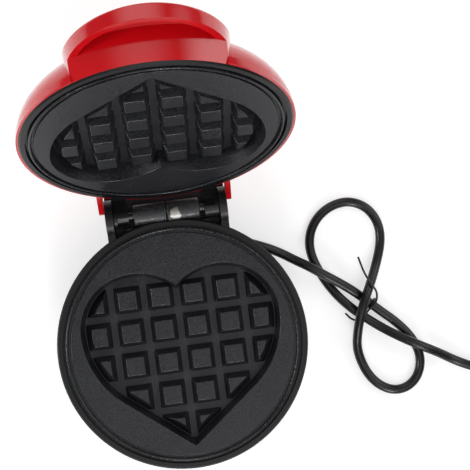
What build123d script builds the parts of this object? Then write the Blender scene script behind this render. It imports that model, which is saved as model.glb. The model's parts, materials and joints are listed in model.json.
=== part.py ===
# Round waffle maker with a heart-shaped grid, lid open, in millimetres.
# Z = 0 is the table. The plates' middle lies plate_y from the middle of the open outline.
import os
from math import acos, asin, atan2, cos, degrees, pi, radians, sin, sqrt, tan

from build123d import *

os.makedirs("parts", exist_ok=True)

# Driving dimensions: the whole object
part_height = 35.0  # meeting plane of the closed plates above the table
foot_height = 3.0
open_angle = 115.0  # how far the lid stands open at rest
hinge_gap = 3.7  # hinge axis behind the rim
hinge_drop = 5.0  # hinge axis below the meeting plane
plate_gap = 1.4  # between the lands of the closed plates
wall = 2.2  # moulded walls
fit_gap = 0.1  # between pieces that slide into one another

# Grid plates
plate_r = 59.2
rim_gap = 1.3  # between the plate and the rim
rim_w = 3.0  # of the black rim round the plate
land_t = 2.2
bead_w = 1.5
bead_h = 0.5
groove_w = 1.2
groove_d = 1.0
heart_margin = 8.7  # land between the heart's widest place and the plate's edge
heart_wide_y = 10.0  # where the heart is widest
lobe_x = 22.0  # middle of each lobe
notch_drop = 8.5  # notch below the lobes' tops
flank_r = 45.0  # radius of the heart's sides below its widest place
tip_slope = 38.5  # of the straight run to the tip, in degrees
tip_round = 1.6
pocket_depth = 8.5
pocket_draft = 12.0
floor_t = 2.2
cell_pitch = 16.8
cell_base = 13.4  # foot of one raised square
cell_h = 6.0
cell_draft = 19.5
cells_per_row = (6, 6, 6, 4, 2)
cell_strip = 0.4  # between the heart's wall and the squares that it cuts
cut_draft = 29.5  # of their cut sides
boss_inset = 10.7  # the three plate bosses inside the plate's edge
boss_r = 3.6
boss_depth = 11.5  # of the boss ends below the land

# Heating tube and its heat shield
heater_inset = 10.0  # its loop inside the shield's pan
tube_r = 3.2
heater_bend = 6.0
heater_end_x = 10.0
heater_end_reach = 8.0  # its ends behind the loop
seat_w = 9.6
seat_end_gap = 8.0  # end of the seat beside the tube's ends
pin_r = 1.2
pin_len = 6.0
bead_r = 2.4
bead_len = 4.0
shield_t = 0.6
shield_drop = 7.6  # depth of the pan below its flange
shield_cone = 1.5  # its wall leans out by this
shield_flange_w = 2.0
shield_clear = 2.0  # between its flange and the screws' circle
shield_ear = 4.5  # of the ears past the screws
shield_window_r = 12.0
pin_room = 1.0  # around the tube's ends in the shield

# Screws
screw_r = 1.5
head_r = 2.9
head_h = 1.8
screw_clear = 0.25
plate_screw_len = 8.0
lug_t = 2.4
lug_w = 11.0
lug_clear = 0.7  # between a lug and the shield's pan
lug_bite = 3.5  # of the lugs into the bowl's wall
head_round = 0.9

# Base housing
rim_drop = 0.6  # top of the rim below the land
rim_bevel = 0.9
skirt_h = 4.4
foot_inset = 14.8  # bottom edge of the bowl inside its rim
ledge_lap = 3.8  # of the plate's edge on its ledge
ledge_t = 2.2
cover_t = 2.0
cover_boss_r = 3.8
cover_boss_h = 8.0
cover_boss_inset = 5.3  # its bosses inside the bowl's bottom edge
cover_screw_len = 8.0
boss_rib_w = 2.0
tail_front_w = 16.8  # half width of the rear block where it leaves the bowl
tail_len = 36.2
tail_back = 11.0  # its back behind the hinge axis
tail_flare = 21.0  # its sides spread by this, in degrees
tail_corner = 3.0
shelf_gap = 0.4  # between the shelf and the room of the barrels
shelf_back = 12.8  # its edge behind the hinge axis
ear_gap = 0.3  # between a knuckle and an ear
ear_t = 3.9
ear_edge = 3.9  # of an ear round the barrels
ear_len = 18.5  # in front of the hinge axis
ear_top_drop = 0.8  # straight part of the ear below the meeting plane
rear_wall_gap = 9.4  # inner face of the wall in front of the barrels, from the hinge axis
rear_wall_lap = 1.6  # its ends outside the inner ends of the knuckles

# Hinge
barrel_r = 5.6
barrel_x = 16.8
barrel_split = 0.15
barrel_edge = 0.4
saddle_inset = 3.8  # ends of the saddle inside the barrels'
saddle_w = 8.8
knuckle_gap = 2.6  # between barrel and knuckle
knuckle_w = 7.2
hinge_pin_r = 2.0
hinge_pin_grip = 10.8  # of a pin in its barrel
running_gap = 0.05
barrel_clear = 1.0
arm_front = 10.2  # of the hinge arms, in front of the hinge axis
arm_neck = 4.7
arm_back = 1.8
arm_top = 8.0
slot_w = 5.6  # key slots in the knuckles
slot_h = 4.6
slot_d = 2.6
left_slot_turn = 235.0  # round the hinge axis from the back, with the lid closed
right_slot_turn = 175.0

# Lid
frame_step_w = 1.8  # of the ring outside the shell's seat
frame_bevel = 0.8
frame_ledge_t = 2.0
frame_wall_t = 1.8
shell_skirt_t = 2.8
shell_skirt_h = 3.3
shell_step = 0.5
dome_h = 31.0
handle_inset = 19.6  # middle of the handle's round front inside the skirt
handle_r = 34.8
handle_flare = 6.0
handle_lip_h = 5.4
handle_lip_t = 3.2
handle_roof_t = 1.8  # over the finger space, at the front
handle_front_z = 19.4  # height of the handle's top at its front
handle_back_z = 32.4  # and where it meets the dome
handle_len = 15.0  # from the middle of its round front to where it meets the dome
handle_root = 21.0  # and to its hidden end
handle_crown_r = 115.0  # of its top, from side to side
handle_face_inset = 1.1  # its leaning face inside the skirt
handle_face_lean = 14.0
edge_round = 1.6
wing_gap = 0.3  # between an ear and a wing
wing_t = 2.8
wing_r = 4.5
wing_back = 0.4  # end of the side wing behind the hinge axis
wing_rise = 7.8  # and above it, with the lid closed
wing_root = 10.6  # in front of the hinge axis
wing_root_len = 8.0
wing_root_z = 10.5
post_r = 3.6
post_outset = 1.5  # circle of the posts outside that of the plate's screws
post_grip = 5.0  # length of screw in a post
post_recess = 0.6  # sinks the heads of the shell's screws
lens_r = 4.0
lens_flange_w = 1.4
lens_flange_t = 1.2
lens_proud = 0.8
lens_seat_gap = 0.6
lamp_r = 2.2
lamp_len = 7.0
lamp_round = 0.7
holder_wall = 1.5
holder_len = 9.0

# Feet, cover vents and what is inside the base
pad_r = 6.0
pad_stud_r = 2.4
pad_stud_len = 3.0
front_foot_inset = 8.4  # inside the bowl's bottom edge
front_foot_turn = 46.8  # from the side to the front, in degrees
rear_foot_x = 15.0
rear_foot_inset = 10.0  # in front of the rear block's back
tail_boss_inset = 5.5
vent_count = 7
vent_len = 26.0
vent_w = 2.4
vent_pitch = 6.0
vent_y = -8.0
stat_r = 7.5  # thermostat
stat_h = 6.6
stat_flange_len = 27.6
stat_flange_w = 9.0
stat_flange_t = 0.8
stat_screw_x = 10.8
stat_screw_grip = 1.4
fuse_r = 2.0
fuse_len = 11.0
fuse_round = 0.5
fuse_x = -24.0
fuse_y = -8.0
clip_w = 5.0
clip_t = 0.5
clip_foot = 2.6
block_len = 20.0  # terminal block
block_w = 13.0
block_h = 8.0
block_corner = 1.0  # of the block and the clamp
block_x = -4.0
block_y = 22.0
block_screw_pitch = 5.0
block_screw_grip = 1.6
clamp_len = 15.6
clamp_w = 7.0
clamp_h = 3.6
clamp_x = 3.0
clamp_inset = 33.2  # in front of the rear block's back
clamp_screw_x = 5.2
clamp_post_r = 2.5
clamp_grip = 5.0
lead_r = 0.9
lead_drop = 23.0  # height of the leads below the land, along the floor
lead_bend = 2.4
lead_side_x = 14.5
lead_left_x = -10.0
inner_run = 10.0  # straight run of the cord inside the gland

# Power cord, plug and tie
cord_r = 2.5
gland_r = 4.2
gland_end_r = 3.1
gland_len = 21.0
gland_neck_r = 3.4
gland_flange_r = 4.3
gland_flange_t = 1.2
gland_z = 9.4
gland_inset = 24.8  # in front of the rear block's back
gland_groove = 0.8
gland_groove_w = 1.5
gland_groove_pitch = 3.4
gland_grooves = 5
gland_run = 7.0  # of the lead, straight out of the relief
coil_r = 26.75  # first half turn on top
coil_pitch = 6.5
coil_top_z = 8.5
coil_x = 189.5
coil_y = -65.5
plug_len = 24.0
plug_w = 19.0
plug_h = 15.0
plug_nose_len = 8.0
plug_nose_w = 9.0
plug_corner = 2.4
plug_gap = 0.01  # between the lead's end and the plug
blade_len = 16.0
blade_w = 6.4
blade_t = 1.5
blade_gap = 12.7
tie_r = 0.55
tie_clear = 0.35
tie_x = 99.85
tie_y = 1.95
tie_turn = -41.4  # direction of the two strands it holds, in degrees
tie_span = 7.8
tie_z = 4.05

# Lead on the table: x and y from the plates' middle, and height above the table
lead_route = [
    (56.4, 38.9, 7.4), (64.4, 33.5, 7.4), (71.3, 29.2, 9.0), (78.3, 24.1, 9.0),
    (86.3, 18.6, 7.2), (93.8, 12.9, 4.8), (100.5, 6.7, 4.1), (107.1, 0.4, 3.6), (114.7, -6.4, 2.6),
    (121.4, -14.6, 2.5), (125.2, -23.3, 2.5), (125.2, -30.9, 2.5), (122.3, -37.5, 2.5),
    (116.8, -42.0, 2.5), (109.6, -43.0, 2.5), (102.3, -39.7, 2.5), (96.6, -33.2, 2.5),
    (93.3, -24.9, 2.5), (91.9, -16.8, 3.6), (92.9, -8.6, 7.2), (94.8, 0.2, 11.0), (98.9, 9.6, 11.0),
    (103.9, 18.0, 6.6), (107.9, 25.9, 3.1), (111.2, 34.6, 2.5), (112.4, 42.9, 2.5), (110.5, 50.9, 2.5),
    (105.4, 57.5, 2.5), (97.1, 61.1, 2.5), (88.3, 59.9, 2.5), (80.7, 55.5, 2.5), (75.5, 48.7, 2.5),
    (73.4, 40.8, 2.5), (74.3, 32.7, 2.5), (78.0, 23.3, 2.5), (83.3, 13.9, 2.7), (90.3, 5.2, 3.8),
    (98.4, -2.0, 4.1), (106.2, -8.2, 4.8), (113.0, -12.9, 6.9), (119.9, -17.1, 9.0),
    (127.9, -21.6, 9.0), (135.6, -25.9, 5.8), (143.3, -30.9, 2.9), (152.5, -35.6, 4.0),
    (162.5, -38.3, 7.0), (172.8, -38.75, 8.5),
]
# Way from the coil to the plug, from the coil's middle
tail_route = [(31.6, -11.0, 2.5), (34.2, -19.6, 5.0), (38.4, -27.8, 7.5), (42.8, -36.8, 7.5)]
# Both ends of the tie, measured like the lead
tie_long_end = [
    (104.6, 5.6, 8.8), (105.4, 11.3, 10.2), (102.4, 16.2, 12.4), (99.4, 22.4, 12.2), (97.6, 31.0, 10.0)
]
tie_short_end = [(91.0, -2.0, 3.0), (88.2, 1.6, 2.4)]

# Worked out from the sizes above
lid_turn = radians(open_angle)
rim_in_r = plate_r + rim_gap
base_r = rim_in_r + rim_w
hinge_back = base_r + hinge_gap  # hinge axis behind the plates' middle
heart_half_w = plate_r - heart_margin
lobe_r = heart_half_w - lobe_x
boss_pcd_r = plate_r - boss_inset
shield_flange_r = boss_pcd_r - shield_clear
shield_pan_r = shield_flange_r - shield_flange_w - shield_cone
heater_r = shield_pan_r - heater_inset
heater_end_y = heater_r + heater_end_reach
ledge_in_r = plate_r - ledge_lap
foot_r = base_r - foot_inset
cover_boss_pcd_r = foot_r - cover_boss_inset
tail_back_y = hinge_back + tail_back
tail_front_y = tail_back_y - tail_len
tail_boss_y = tail_back_y - tail_boss_inset
rear_foot_y = tail_back_y - rear_foot_inset
gland_y = tail_back_y - gland_inset
clamp_y = tail_back_y - clamp_inset
shelf_back_y = hinge_back + shelf_back
shelf_drop = hinge_drop + barrel_r + barrel_clear + shelf_gap
ear_front_y = hinge_back - ear_len
ear_r = barrel_r + ear_edge
rear_wall_y = hinge_back - rear_wall_gap
saddle_x = barrel_x - saddle_inset
hinge_pin_in_x = barrel_x - hinge_pin_grip
knuckle_in_x = barrel_x + knuckle_gap
knuckle_out_x = knuckle_in_x + knuckle_w
rear_wall_x = knuckle_in_x + rear_wall_lap
ear_in_x = knuckle_out_x + ear_gap
arm_front_y = hinge_back - arm_front
arm_neck_y = hinge_back - arm_neck
arm_back_y = hinge_back - arm_back
frame_step_r = base_r - frame_step_w
frame_step_z = plate_gap + frame_bevel
frame_wall_r = ledge_in_r + frame_wall_t
shell_in_r = frame_step_r + fit_gap
shell_r = shell_in_r + shell_skirt_t
handle_y = handle_inset - shell_r
handle_back_y = handle_y + handle_len
handle_root_y = handle_y + handle_root
handle_face_r = shell_r - handle_face_inset
handle_ceiling_z = handle_front_z - handle_roof_t
handle_lip_z = handle_ceiling_z - handle_lip_h
wing_root_y = hinge_back - wing_root
post_pcd_r = boss_pcd_r + post_outset
lens_flange_r = lens_r + lens_flange_w
lens_seat_r = lens_flange_r + lens_seat_gap
holder_r = lamp_r + fit_gap + holder_wall
handle_front_y = handle_y - handle_r - (handle_front_z - frame_step_z) * tan(radians(handle_flare))
rear_reach = (
    hinge_back
    - cos(lid_turn) * (hinge_back - handle_front_y)
    + sin(lid_turn) * (handle_front_z + hinge_drop)
)
plate_y = (base_r - rear_reach) / 2
foot_z = foot_height - part_height
axis_z = -hinge_drop
tub_depth = pocket_depth + floor_t
heater_depth = tub_depth + tube_r + fit_gap
shield_top = boss_depth
lug_top = boss_depth + shield_t
lug_in_r = shield_pan_r + shield_cone + lug_clear
lug_out_r = base_r - wall - lug_bite
tail_rad = radians(tail_flare)
ear_out_x = ear_in_x + ear_t
wing_in_x = ear_out_x + wing_gap
skirt_z = -(rim_drop + skirt_h)
floor_z = foot_z + cover_t  # top of the bottom cover
shelf_z = -shelf_drop
frame_seat_z = plate_gap + land_t
frame_lug_z = plate_gap + lug_top
dome_r = shell_r - shell_step
dome_z = frame_step_z + shell_skirt_h

# The three frames: base, open lid, and the two plates' faces
base = Plane(origin=(0, plate_y, part_height))
lid = Plane(
    origin=(
        0,
        plate_y + hinge_back - cos(lid_turn) * hinge_back + sin(lid_turn) * hinge_drop,
        part_height - hinge_drop + sin(lid_turn) * hinge_back + cos(lid_turn) * hinge_drop,
    ),
    x_dir=(1, 0, 0),
    z_dir=(0, sin(lid_turn), cos(lid_turn)),
)
lower_face = base
upper_face = Plane(
    origin=lid.origin + lid.z_dir * plate_gap, x_dir=-lid.x_dir, z_dir=-lid.z_dir
)
gland_x = tail_front_w + (gland_y - tail_front_y) * tan(tail_rad)
gland = Plane(
    origin=(gland_x, plate_y + gland_y, gland_z),
    x_dir=(sin(tail_rad), cos(tail_rad), 0),
    z_dir=(cos(tail_rad), -sin(tail_rad), 0),
)
roof_rad = atan2(handle_back_z - handle_front_z, handle_back_y - handle_front_y)


def upright(plane, turn=0.0):
    """Plane through the axis of another, its first direction turned about that axis."""
    turned = plane.rotated((0, 0, turn))
    return Plane(origin=plane.origin, x_dir=turned.x_dir, z_dir=-turned.y_dir)


def lengthwise(plane, x=0.0):
    """Plane square to the hinge, at x, running front to back."""
    return Plane(origin=plane.origin + plane.x_dir * x, x_dir=plane.y_dir, z_dir=plane.x_dir)


def axis_of(plane):
    return Axis(plane.origin, plane.z_dir)


def place(plane, x, y, z):
    return plane.from_local_coords((x, y, z))


def facing_down(plane, z):
    """The same plane at a height, turned over; its second direction is reversed."""
    return Plane(origin=place(plane, 0, 0, z), x_dir=plane.x_dir, z_dir=-plane.z_dir)


def save(piece, name):
    piece.part.label = name
    export_step(piece.part, f"parts/{name}.step")


def draw_heart(inset=0.0):
    """Heart of lobes, flanks and straight runs to a rounded tip; the whole line moves in by inset."""
    flank = 90 - tip_slope
    brow_r = (lobe_x**2 + notch_drop**2) / (2 * notch_drop)
    brow_y = heart_wide_y + lobe_r - brow_r
    with BuildLine() as outline:
        side = CenterArc((heart_half_w - flank_r, heart_wide_y), flank_r - inset, -flank, flank)
        tip_y = (side @ 0).Y - (side @ 0).X * tan(radians(tip_slope))
        lobe = CenterArc((lobe_x, heart_wide_y), lobe_r - inset, 0, 90)
        notch = brow_y + sqrt((brow_r - inset) ** 2 - lobe_x**2)
        TangentArc(lobe @ 1, (0, notch), tangent=lobe % 1)
        Line(side @ 0, (0, tip_y))
        mirror(about=Plane.YZ)
    make_face(outline.edges())
    fillet(vertices().group_by(Axis.Y)[0], radius=tip_round)


def heart_column(face, mode):
    """Space of the heart, narrower at its floor by the draft of its wall."""
    with BuildSketch(face) as mouth:
        draw_heart()
    with BuildSketch(face.offset(-pocket_depth)) as floor:
        draw_heart(pocket_depth * tan(radians(pocket_draft)))
    loft([mouth.sketch, floor.sketch], ruled=True, mode=mode)


def draw_loop():
    """Centre line of the heating tube: a loop with both ends turned to the back."""
    join = acos((heater_end_x + heater_bend) / (heater_r + heater_bend))
    bend_y = (heater_r + heater_bend) * sin(join)
    sweep_angle = 180 + 2 * degrees(join)
    first = Line((heater_end_x, heater_end_y), (heater_end_x, bend_y))
    TangentArc(first @ 1, (heater_r * cos(join), heater_r * sin(join)), tangent=first % 1)
    ring = CenterArc((0, 0), heater_r, degrees(join), -sweep_angle)
    bend = TangentArc(ring @ 1, (-heater_end_x, bend_y), tangent=ring % 1)
    Line(bend @ 1, (-heater_end_x, heater_end_y))


def cell_spots():
    """Middles of the raised squares: the two beside the notch, and the rest."""
    beside, rest = [], []
    for row, count in enumerate(cells_per_row):
        for i in range(count):
            x = (i - (count - 1) / 2) * cell_pitch
            group = beside if row == 0 and abs(x) < cell_pitch else rest
            group.append((x, (1.5 - row) * cell_pitch))
    return beside, rest


def raise_cells(floor, spots):
    with BuildSketch(floor) as squares:
        with Locations(*spots):
            Rectangle(cell_base, cell_base)
    extrude(squares.sketch, amount=cell_h, taper=cell_draft)


def waffle_cells(face):
    """Raised squares; those at the edge are cut along the heart, with a drafted side of their own."""
    floor = face.offset(-pocket_depth)
    beside, rest = cell_spots()
    heart_inset = pocket_depth * tan(radians(pocket_draft)) + cell_strip
    with BuildPart() as cells:
        raise_cells(floor, rest)
        with BuildSketch(floor) as foot:
            draw_heart(heart_inset)
        with BuildSketch(floor.offset(cell_h)) as top:
            draw_heart(heart_inset + cell_h * tan(radians(cut_draft)))
        loft([foot.sketch, top.sketch], ruled=True, mode=Mode.INTERSECT)
        raise_cells(floor, beside)
        heart_column(face, Mode.INTERSECT)
    return cells.part


def grid_plate(face):
    """Cast plate: land with groove and bead, heart tub, bosses and the tube's seat."""
    groove_out_r = plate_r - bead_w
    cells = waffle_cells(face)
    with BuildPart() as plate:
        with BuildSketch(upright(face)):
            with BuildLine():
                bead = ThreePointArc(
                    (groove_out_r, 0), (plate_r - bead_w / 2, bead_h), (plate_r, 0)
                )
                Polyline(
                    bead @ 1, (plate_r, -land_t), (0, -land_t), (0, 0),
                    (groove_out_r - groove_w, 0), (groove_out_r - groove_w, -groove_d),
                    (groove_out_r, -groove_d), bead @ 0,
                )
            make_face()
        revolve(axis=axis_of(face))
        with BuildSketch(face.offset(-land_t)):
            draw_heart(-floor_t)
        extrude(amount=-(tub_depth - land_t))
        with BuildSketch(face.offset(-tub_depth)):
            Circle(heater_r + seat_w / 2)
            Circle(heater_r - seat_w / 2, mode=Mode.SUBTRACT)
            with Locations((0, heater_r)):
                Rectangle(2 * (heater_end_x + seat_end_gap), heater_r, mode=Mode.SUBTRACT)
        extrude(amount=-tube_r)
        with BuildSketch(face.offset(-land_t)):
            with PolarLocations(boss_pcd_r, 3, start_angle=90):
                Circle(boss_r)
        extrude(amount=-(boss_depth - land_t))
        heart_column(face, Mode.SUBTRACT)
        with BuildSketch(face.offset(-boss_depth)):
            with PolarLocations(boss_pcd_r, 3, start_angle=90):
                Circle(screw_r + fit_gap)
        extrude(amount=plate_screw_len - lug_t - shield_t + fit_gap, mode=Mode.SUBTRACT)
        with BuildSketch(face.offset(-tub_depth)):
            with GridLocations(2 * stat_screw_x, 1, 2, 1):
                Circle(screw_r + fit_gap)
        extrude(amount=stat_screw_grip + fit_gap, mode=Mode.SUBTRACT)
        with BuildLine(face.offset(-heater_depth)) as loop:
            draw_loop()
        with BuildSketch(Plane(origin=loop.line @ 0, z_dir=loop.line % 0)):
            Circle(tube_r + fit_gap)
        sweep(mode=Mode.SUBTRACT)
        add(cells)
    return plate


def heating_tube(face):
    with BuildPart() as tube:
        with BuildLine(face.offset(-heater_depth)) as loop:
            draw_loop()
        with BuildSketch(Plane(origin=loop.line @ 0, z_dir=loop.line % 0)):
            Circle(tube_r)
        sweep()
    return tube


def heater_terminals(face):
    """Insulating beads and contact pins on both ends of the heating tube."""
    ends = Plane(
        origin=face.origin + face.y_dir * heater_end_y - face.z_dir * heater_depth,
        x_dir=face.x_dir, z_dir=face.y_dir,
    )
    with BuildPart() as terminals:
        for r, length in ((bead_r, bead_len), (pin_r, bead_len + pin_len)):
            with BuildSketch(ends):
                with GridLocations(2 * heater_end_x, 1, 2, 1):
                    Circle(r)
            extrude(amount=length)
    return terminals


def heat_shield(face):
    """Pressed pan behind the heating tube, its flange clamped under the plate's bosses."""
    pan_z = -(shield_top + shield_drop)
    ear_in_r = shield_pan_r + shield_cone - shield_t
    ear_out_r = boss_pcd_r + shield_ear
    with BuildPart() as shield:
        with BuildSketch(upright(face)):
            with BuildLine():
                Polyline(
                    (shield_window_r, pan_z), (shield_pan_r, pan_z),
                    (shield_pan_r + shield_cone, -shield_top - shield_t),
                    (shield_flange_r, -shield_top - shield_t), (shield_flange_r, -shield_top),
                    (shield_pan_r + shield_cone - shield_t, -shield_top),
                    (shield_pan_r - shield_t, pan_z + shield_t), (shield_window_r, pan_z + shield_t),
                    close=True,
                )
            make_face()
        revolve(axis=axis_of(face))
        with BuildSketch(face.offset(-shield_top - shield_t)):
            with PolarLocations((ear_in_r + ear_out_r) / 2, 3, start_angle=90):
                Rectangle(ear_out_r - ear_in_r, lug_w)
            with PolarLocations(boss_pcd_r, 3, start_angle=90):
                Circle(screw_r + screw_clear, mode=Mode.SUBTRACT)
        extrude(amount=shield_t)
        # Way out for the tube's ends and their pins
        with BuildSketch(face.offset(pan_z)):
            with Locations((0, heater_end_y)):
                with GridLocations(2 * heater_end_x, 1, 2, 1):
                    Rectangle(2 * (tube_r + pin_room), 2 * (bead_len + pin_len + pin_room))
        extrude(amount=shield_drop, mode=Mode.SUBTRACT)
    return shield


def headed_screws(plane, spots, length):
    """Pan-head screws driven along the plane's direction, heads resting on it."""
    with BuildPart() as screws:
        with BuildSketch(plane):
            with Locations(*spots):
                Circle(screw_r)
        extrude(amount=length)
        with BuildSketch(plane):
            with Locations(*spots):
                Circle(head_r)
        extrude(amount=-head_h)
        fillet(faces().filter_by(plane).group_by(axis_of(plane))[0].edges(), radius=head_round)
    return screws


def draw_tail(inset=0.0, front=0.0):
    """Plan of the rear block, whose sides spread towards the back."""
    front_w = tail_front_w - inset / cos(tail_rad) - front * tan(tail_rad)
    back_y = tail_back_y - inset
    back_w = front_w + (back_y - tail_front_y + front) * tan(tail_rad)
    with BuildLine() as outline:
        Polyline(
            (-front_w, tail_front_y - front), (front_w, tail_front_y - front),
            (back_w, back_y), (-back_w, back_y), close=True,
        )
    make_face(outline.edges())
    fillet(vertices().group_by(Axis.Y)[-1], radius=tail_corner - min(inset, wall))


def draw_ear():
    """Side of an ear: a round end on the hinge axis and a straight root in the bowl."""
    with Locations((hinge_back, axis_z)):
        Circle(ear_r)
    with Locations(((ear_front_y + hinge_back) / 2, (shelf_z - wall - ear_top_drop) / 2)):
        Rectangle(hinge_back - ear_front_y, wall - shelf_z - ear_top_drop)


def cover_screw_spots():
    around = [(cover_boss_pcd_r * cos(a), cover_boss_pcd_r * sin(a)) for a in (-pi / 2, 0, pi)]
    return around + [(0, tail_boss_y)]


def base_housing():
    """Moulded bowl with rim, rear block, shelf, ears and the bosses inside."""
    in_r = base_r - wall
    with BuildPart() as housing:
        with BuildSketch(upright(base)):
            with BuildLine():
                Polyline(
                    (0, foot_z), (foot_r, foot_z), (base_r, skirt_z),
                    (base_r, -rim_drop - rim_bevel), (base_r - rim_bevel, -rim_drop),
                    (0, -rim_drop), close=True,
                )
            make_face()
        revolve(axis=axis_of(base))
        with BuildSketch(base.offset(foot_z)):
            draw_tail()
        extrude(amount=shelf_z - foot_z)
        with BuildSketch(base.offset(shelf_z - wall)):
            with Locations((0, (ear_front_y + shelf_back_y) / 2)):
                Rectangle(2 * ear_out_x, shelf_back_y - ear_front_y)
        extrude(amount=wall)
        for x in (-ear_out_x, ear_in_x):
            with BuildSketch(lengthwise(base, x)):
                draw_ear()
            extrude(amount=ear_t)
        # Inside of the bowl, open at the bottom, with the seat of the plate's edge
        with BuildSketch(upright(base)):
            with BuildLine():
                Polyline(
                    (0, foot_z), (foot_r - wall, foot_z), (in_r, skirt_z), (in_r, -land_t - ledge_t),
                    (ledge_in_r, -land_t - ledge_t), (ledge_in_r, -land_t), (rim_in_r, -land_t),
                    (rim_in_r, -rim_drop), (0, -rim_drop), close=True,
                )
            make_face()
        revolve(axis=axis_of(base), mode=Mode.SUBTRACT)
        with BuildSketch(base.offset(foot_z)):
            draw_tail(wall, 2 * wall)
        extrude(amount=shelf_z - wall - foot_z, mode=Mode.SUBTRACT)
        # Wall in front of the barrels, then room for them in the rim
        with BuildSketch(base.offset(shelf_z - wall)):
            with Locations((0, (rear_wall_y + in_r) / 2)):
                Rectangle(2 * rear_wall_x, in_r - rear_wall_y)
        extrude(amount=-land_t - shelf_z + wall)
        with BuildSketch(lengthwise(base, -ear_in_x)):
            with Locations((hinge_back, axis_z)):
                Circle(barrel_r + barrel_clear)
        extrude(amount=2 * ear_in_x, mode=Mode.SUBTRACT)
        with BuildSketch(base.offset(shelf_z)):
            with Locations((0, hinge_back)):
                Rectangle(2 * saddle_x, saddle_w)
        extrude(amount=axis_z - shelf_z)
        with BuildSketch(lengthwise(base, -saddle_x)):
            with Locations((hinge_back, axis_z)):
                Circle(barrel_r)
        extrude(amount=2 * saddle_x, mode=Mode.SUBTRACT)
        with BuildSketch(lengthwise(base, -ear_out_x)):
            with Locations((hinge_back, axis_z)):
                Circle(hinge_pin_r)
        extrude(amount=2 * ear_out_x, mode=Mode.SUBTRACT)
        # Lugs under the plate's bosses
        with BuildSketch(base.offset(-lug_top - lug_t)):
            with PolarLocations((lug_in_r + lug_out_r) / 2, 3, start_angle=90):
                Rectangle(lug_out_r - lug_in_r, lug_w)
            with PolarLocations(boss_pcd_r, 3, start_angle=90):
                Circle(screw_r + screw_clear, mode=Mode.SUBTRACT)
        extrude(amount=lug_t)
        # Bosses for the bottom cover, each with a rib to the wall
        with BuildSketch(base.offset(floor_z)):
            with Locations(*cover_screw_spots()):
                Circle(cover_boss_r)
            with PolarLocations((cover_boss_pcd_r + foot_r) / 2, 3, start_angle=-180, angular_range=270):
                Rectangle(foot_r - cover_boss_pcd_r, boss_rib_w)
        extrude(amount=cover_boss_h)
        with BuildSketch(base.offset(floor_z)):
            with Locations(*cover_screw_spots()):
                Circle(screw_r + fit_gap)
        extrude(amount=cover_screw_len - cover_t + fit_gap, mode=Mode.SUBTRACT)
        with BuildSketch(gland):
            Circle(gland_neck_r + fit_gap)
        extrude(amount=-2 * wall, mode=Mode.SUBTRACT)
    return housing


def bottom_cover():
    """Flat cover with vents, holes for its screws and feet, and posts for the cord clamp."""
    with BuildPart() as cover:
        with BuildSketch(base.offset(foot_z)):
            Circle(foot_r - wall - fit_gap)
            draw_tail(wall + fit_gap)
            with Locations((0, vent_y)):
                with GridLocations(1, vent_pitch, 1, vent_count):
                    SlotOverall(vent_len, vent_w, mode=Mode.SUBTRACT)
            with Locations(*cover_screw_spots()):
                Circle(screw_r + screw_clear, mode=Mode.SUBTRACT)
            with Locations(*foot_spots()):
                Circle(pad_stud_r + fit_gap, mode=Mode.SUBTRACT)
        extrude(amount=cover_t)
        with BuildSketch(base.offset(floor_z)):
            with Locations(*clamp_spots()):
                Circle(clamp_post_r)
        extrude(amount=gland_z - cover_t - foot_height)
        with BuildSketch(base.offset(gland_z - part_height)):
            with Locations(*clamp_spots()):
                Circle(screw_r + fit_gap)
        extrude(amount=-clamp_grip - fit_gap, mode=Mode.SUBTRACT)
        with BuildSketch(base.offset(floor_z)):
            with Locations(*block_spots()):
                Circle(screw_r + fit_gap)
        extrude(amount=-block_screw_grip, mode=Mode.SUBTRACT)
    return cover


def foot_spots():
    turn = radians(front_foot_turn)
    front_x = (foot_r - front_foot_inset) * cos(turn)
    front_y = (front_foot_inset - foot_r) * sin(turn)
    return [
        (-front_x, front_y), (front_x, front_y), (-rear_foot_x, rear_foot_y), (rear_foot_x, rear_foot_y)
    ]


def clamp_spots():
    return [(clamp_x - clamp_screw_x, clamp_y), (clamp_x + clamp_screw_x, clamp_y)]


def block_spots():
    return [(block_x - block_screw_pitch, block_y), (block_x + block_screw_pitch, block_y)]


def rubber_feet():
    with BuildPart() as feet:
        with BuildSketch(base.offset(foot_z)):
            with Locations(*foot_spots()):
                Circle(pad_r)
        extrude(amount=-foot_height)
        fillet(edges().group_by(Axis.Z)[0], radius=head_round)
        with BuildSketch(base.offset(foot_z)):
            with Locations(*foot_spots()):
                Circle(pad_stud_r)
        extrude(amount=pad_stud_len)
    return feet


def thermostat():
    flange_z = -tub_depth - stat_flange_t
    with BuildPart() as stat:
        with BuildSketch(base.offset(flange_z)):
            SlotOverall(stat_flange_len, stat_flange_w)
            with GridLocations(2 * stat_screw_x, 1, 2, 1):
                Circle(screw_r + screw_clear, mode=Mode.SUBTRACT)
        extrude(amount=stat_flange_t)
        with BuildSketch(base.offset(-tub_depth)):
            Circle(stat_r)
        extrude(amount=-stat_h)
        fillet(faces().sort_by(Axis.Z)[0].edges(), radius=head_round)
    return stat


def thermal_fuse():
    fuse_z = -(shield_top + shield_drop) - fuse_r
    with BuildPart() as fuse:
        with BuildSketch(lengthwise(base, fuse_x - fuse_len / 2)):
            with Locations((fuse_y, fuse_z)):
                Circle(fuse_r)
        extrude(amount=fuse_len)
        fillet(edges(), radius=fuse_round)
    return fuse


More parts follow.
